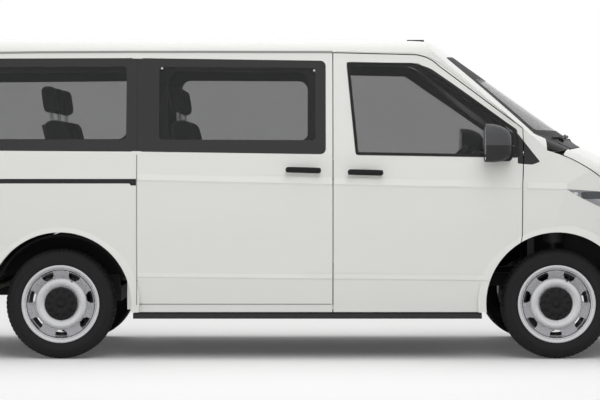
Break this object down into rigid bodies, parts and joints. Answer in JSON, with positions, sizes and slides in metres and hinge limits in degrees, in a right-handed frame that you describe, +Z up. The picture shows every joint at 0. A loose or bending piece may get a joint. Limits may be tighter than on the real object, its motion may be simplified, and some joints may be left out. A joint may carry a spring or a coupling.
{
  "type": "minibus",
  "caption": "Short-wheelbase window minibus with three rows of seats, a sliding side door, hinged front doors, bonnet and tailgate, steered front wheels and free-rolling road wheels.",
  "frame": {"origin": "on the ground, midway between nose and tail, on the centre line", "axes": "+X forward along the vehicle, +Y to its left, +Z up"},
  "size_m": [4.892, 2.27, 1.9758],
  "materials": {
    "black_plastic": "grained",
    "cast_metal": "rough",
    "exhaust_steel": "dull",
    "grey_plastic": "grained",
    "lamp_lens": "clear gloss",
    "red_lens": "gloss",
    "seat_fabric": "woven",
    "silver_steel": "satin silver",
    "tinted_glass": "gloss",
    "tyre_rubber": "matt",
    "underbody_black": "matt",
    "white_paint": "gloss"
  },
  "bodies": {
    "shell": {"arch_liners": "black_plastic", "dashboard": "grey_plastic", "engine": "cast_metal", "exhaust": "exhaust_steel", "floor": "underbody_black", "front_bumper": "white_paint", "front_frame": "white_paint", "front_seats": "seat_fabric", "front_subframe": "cast_metal", "front_wings": "white_paint", "fuel_tank": "underbody_black", "grille": "black_plastic", "headlamps": "lamp_lens", "rear_axle": "cast_metal", "rear_bumper": "white_paint", "rear_seats": "seat_fabric", "roof": "white_paint", "scuttle": "black_plastic", "side_glasses": "tinted_glass", "side_panel_left": "white_paint", "side_panel_right": "white_paint", "sliding_door": "white_paint", "tail_lamps": "red_lens", "windscreen": "tinted_glass"},
    "front_door_right": {"front_door_right": "white_paint", "door_glass_right": "tinted_glass", "mirror_right": "black_plastic"},
    "front_door_left": {"front_door_left": "white_paint", "door_glass_left": "tinted_glass", "mirror_left": "black_plastic"},
    "bonnet": {"bonnet": "white_paint"},
    "tailgate": {"tailgate": "white_paint", "tailgate_glass": "tinted_glass"},
    "knuckle_right": {"knuckle_right": "cast_metal"},
    "knuckle_left": {"knuckle_left": "cast_metal"},
    "steering_wheel": {"steering_wheel": "black_plastic"},
    "road_wheel_front_right": {"wheel_front_right": "silver_steel", "tyre_front_right": "tyre_rubber"},
    "road_wheel_front_left": {"wheel_front_left": "silver_steel", "tyre_front_left": "tyre_rubber"},
    "road_wheel_rear_right": {"wheel_rear_right": "silver_steel", "tyre_rear_right": "tyre_rubber"},
    "road_wheel_rear_left": {"wheel_rear_left": "silver_steel", "tyre_rear_left": "tyre_rubber"}
  },
  "joints": [
    {"name": "front_door_right_open", "type": "hinge", "parent": "shell", "child": "front_door_right", "pos_m": [1.3, -0.915, 0.975], "axis": [0, 0, 1], "range_deg": [0, 68]},
    {"name": "front_door_left_open", "type": "hinge", "parent": "shell", "child": "front_door_left", "pos_m": [1.3, 0.915, 0.975], "axis": [0, 0, -1], "range_deg": [0, 68]},
    {"name": "bonnet_open", "type": "hinge", "parent": "shell", "child": "bonnet", "pos_m": [1.5, 0, 1.236], "axis": [0, -1, 0], "range_deg": [0, 50]},
    {"name": "tailgate_open", "type": "hinge", "parent": "shell", "child": "tailgate", "pos_m": [-2.275, 0, 1.872], "axis": [0, 1, 0], "range_deg": [0, 80]},
    {"name": "steer_right", "type": "hinge", "parent": "shell", "child": "knuckle_right", "pos_m": [1.552, -0.702, 0.333], "axis": [0, 0, 1], "range_deg": [-35, 35]},
    {"name": "steer_left", "type": "hinge", "parent": "shell", "child": "knuckle_left", "pos_m": [1.552, 0.702, 0.333], "axis": [0, 0, 1], "range_deg": [-35, 35]},
    {"name": "steering_wheel_turn", "type": "hinge", "parent": "shell", "child": "steering_wheel", "pos_m": [0.97, 0.4, 1.15], "axis": [-0.7431, 0, 0.6691], "range_deg": [-525, 525]},
    {"name": "road_wheel_front_right_spin", "type": "hinge", "parent": "knuckle_right", "child": "road_wheel_front_right", "pos_m": [1.552, -0.814, 0.333], "axis": [0, 1, 0], "continuous": true},
    {"name": "road_wheel_rear_right_spin", "type": "hinge", "parent": "shell", "child": "road_wheel_rear_right", "pos_m": [-1.448, -0.814, 0.333], "axis": [0, 1, 0], "continuous": true},
    {"name": "road_wheel_front_left_spin", "type": "hinge", "parent": "knuckle_left", "child": "road_wheel_front_left", "pos_m": [1.552, 0.814, 0.333], "axis": [0, 1, 0], "continuous": true},
    {"name": "road_wheel_rear_left_spin", "type": "hinge", "parent": "shell", "child": "road_wheel_rear_left", "pos_m": [-1.448, 0.814, 0.333], "axis": [0, 1, 0], "continuous": true}
  ],
  "couplings": [
    {"joint": "steer_left", "follows": "steer_right", "ratio": 1},
    {"joint": "steering_wheel_turn", "follows": "steer_right", "ratio": 15}
  ]
}
